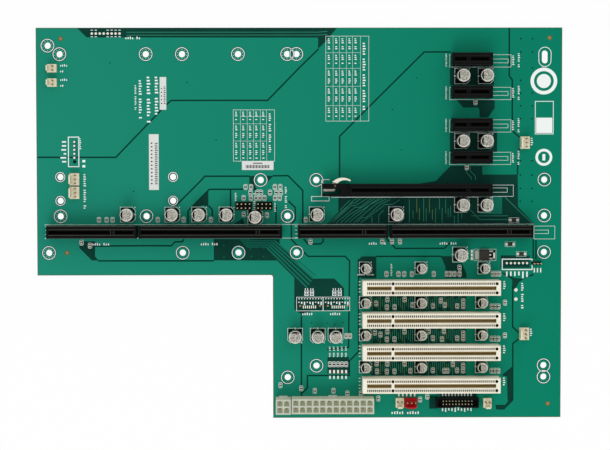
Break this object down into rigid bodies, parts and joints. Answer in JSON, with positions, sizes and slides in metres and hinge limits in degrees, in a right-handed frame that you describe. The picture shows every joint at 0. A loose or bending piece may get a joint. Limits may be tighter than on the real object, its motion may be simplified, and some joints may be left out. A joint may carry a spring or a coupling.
{
  "type": "passive backplane",
  "caption": "L-shaped passive backplane board with a host-board slot, card slots of three widths, power sockets, headers and a slot latch.",
  "frame": {"origin": "under the middle of the board, level with the lowest solder tails", "axes": "+Z is the component side, +X points to the rear (bracket) edge, +Y to the edge beside the first card slot"},
  "size_m": [0.329, 0.245, 0.0169],
  "materials": {
    "board_green": "semi-gloss solder mask",
    "black_housing": "moulded, satin",
    "ivory_housing": "moulded, satin",
    "contact_gold": "gold plated",
    "cream_wafer": "natural nylon",
    "red_wafer": "moulded, satin",
    "socket_nylon": "natural nylon",
    "tinned_pin": "tin plated",
    "ivory_lever": "moulded, satin",
    "steel_pin": "drawn",
    "can_aluminium": "satin",
    "can_base_black": "moulded",
    "chip_tan": "ceramic",
    "chip_black": "moulded epoxy",
    "lamp_white": "clear over white",
    "label_paper": "matt paper"
  },
  "bodies": {
    "backplane": {"aux_power_pins": "tinned_pin", "aux_power_socket": "socket_nylon", "bare_header_pins": "tinned_pin", "box_header": "black_housing", "box_header_pins": "tinned_pin", "chip_capacitors": "chip_tan", "chip_resistors": "chip_black", "circuit_board": "board_green", "fan_header_1": "cream_wafer", "fan_header_2": "cream_wafer", "fan_header_3": "cream_wafer", "fan_header_4": "cream_wafer", "host_contacts_1": "contact_gold", "host_contacts_2": "contact_gold", "host_contacts_3": "contact_gold", "host_contacts_4": "contact_gold", "host_slot_1": "black_housing", "host_slot_2": "black_housing", "host_slot_3": "black_housing", "host_slot_4": "black_housing", "indicator_lamps": "lamp_white", "large_capacitor_bases": "can_base_black", "large_capacitor_cans": "can_aluminium", "latch_bracket": "black_housing", "latch_pin": "steel_pin", "main_power_pins": "tinned_pin", "main_power_socket": "socket_nylon", "paper_labels": "label_paper", "pin_header_blocks": "black_housing", "red_header": "red_wafer", "regulator_body": "chip_black", "regulator_leads": "tinned_pin", "small_capacitor_bases": "can_base_black", "small_capacitor_cans": "can_aluminium", "transistors": "chip_black", "two_pin_header_1": "cream_wafer", "two_pin_header_2": "cream_wafer", "two_pin_header_3": "cream_wafer", "two_pin_header_4": "cream_wafer", "wafer_header_pins": "tinned_pin", "wide_contacts_1": "contact_gold", "wide_contacts_2": "contact_gold", "wide_contacts_3": "contact_gold", "wide_contacts_4": "contact_gold", "wide_slot_1": "ivory_housing", "wide_slot_2": "ivory_housing", "wide_slot_3": "ivory_housing", "wide_slot_4": "ivory_housing", "x16_contacts": "contact_gold", "x16_slot": "black_housing", "x1_contacts_1": "contact_gold", "x1_contacts_2": "contact_gold", "x1_contacts_3": "contact_gold", "x1_contacts_4": "contact_gold", "x1_slot_1": "black_housing", "x1_slot_2": "black_housing", "x1_slot_3": "black_housing", "x1_slot_4": "black_housing"},
    "latch_lever": {"latch_lever": "ivory_lever"}
  },
  "joints": [
    {"name": "latch_turn", "type": "hinge", "parent": "backplane", "child": "latch_lever", "pos_m": [0.02205, 0.02372, 0.008], "axis": [0, 0, 1], "range_deg": [-8, 0]}
  ]
}
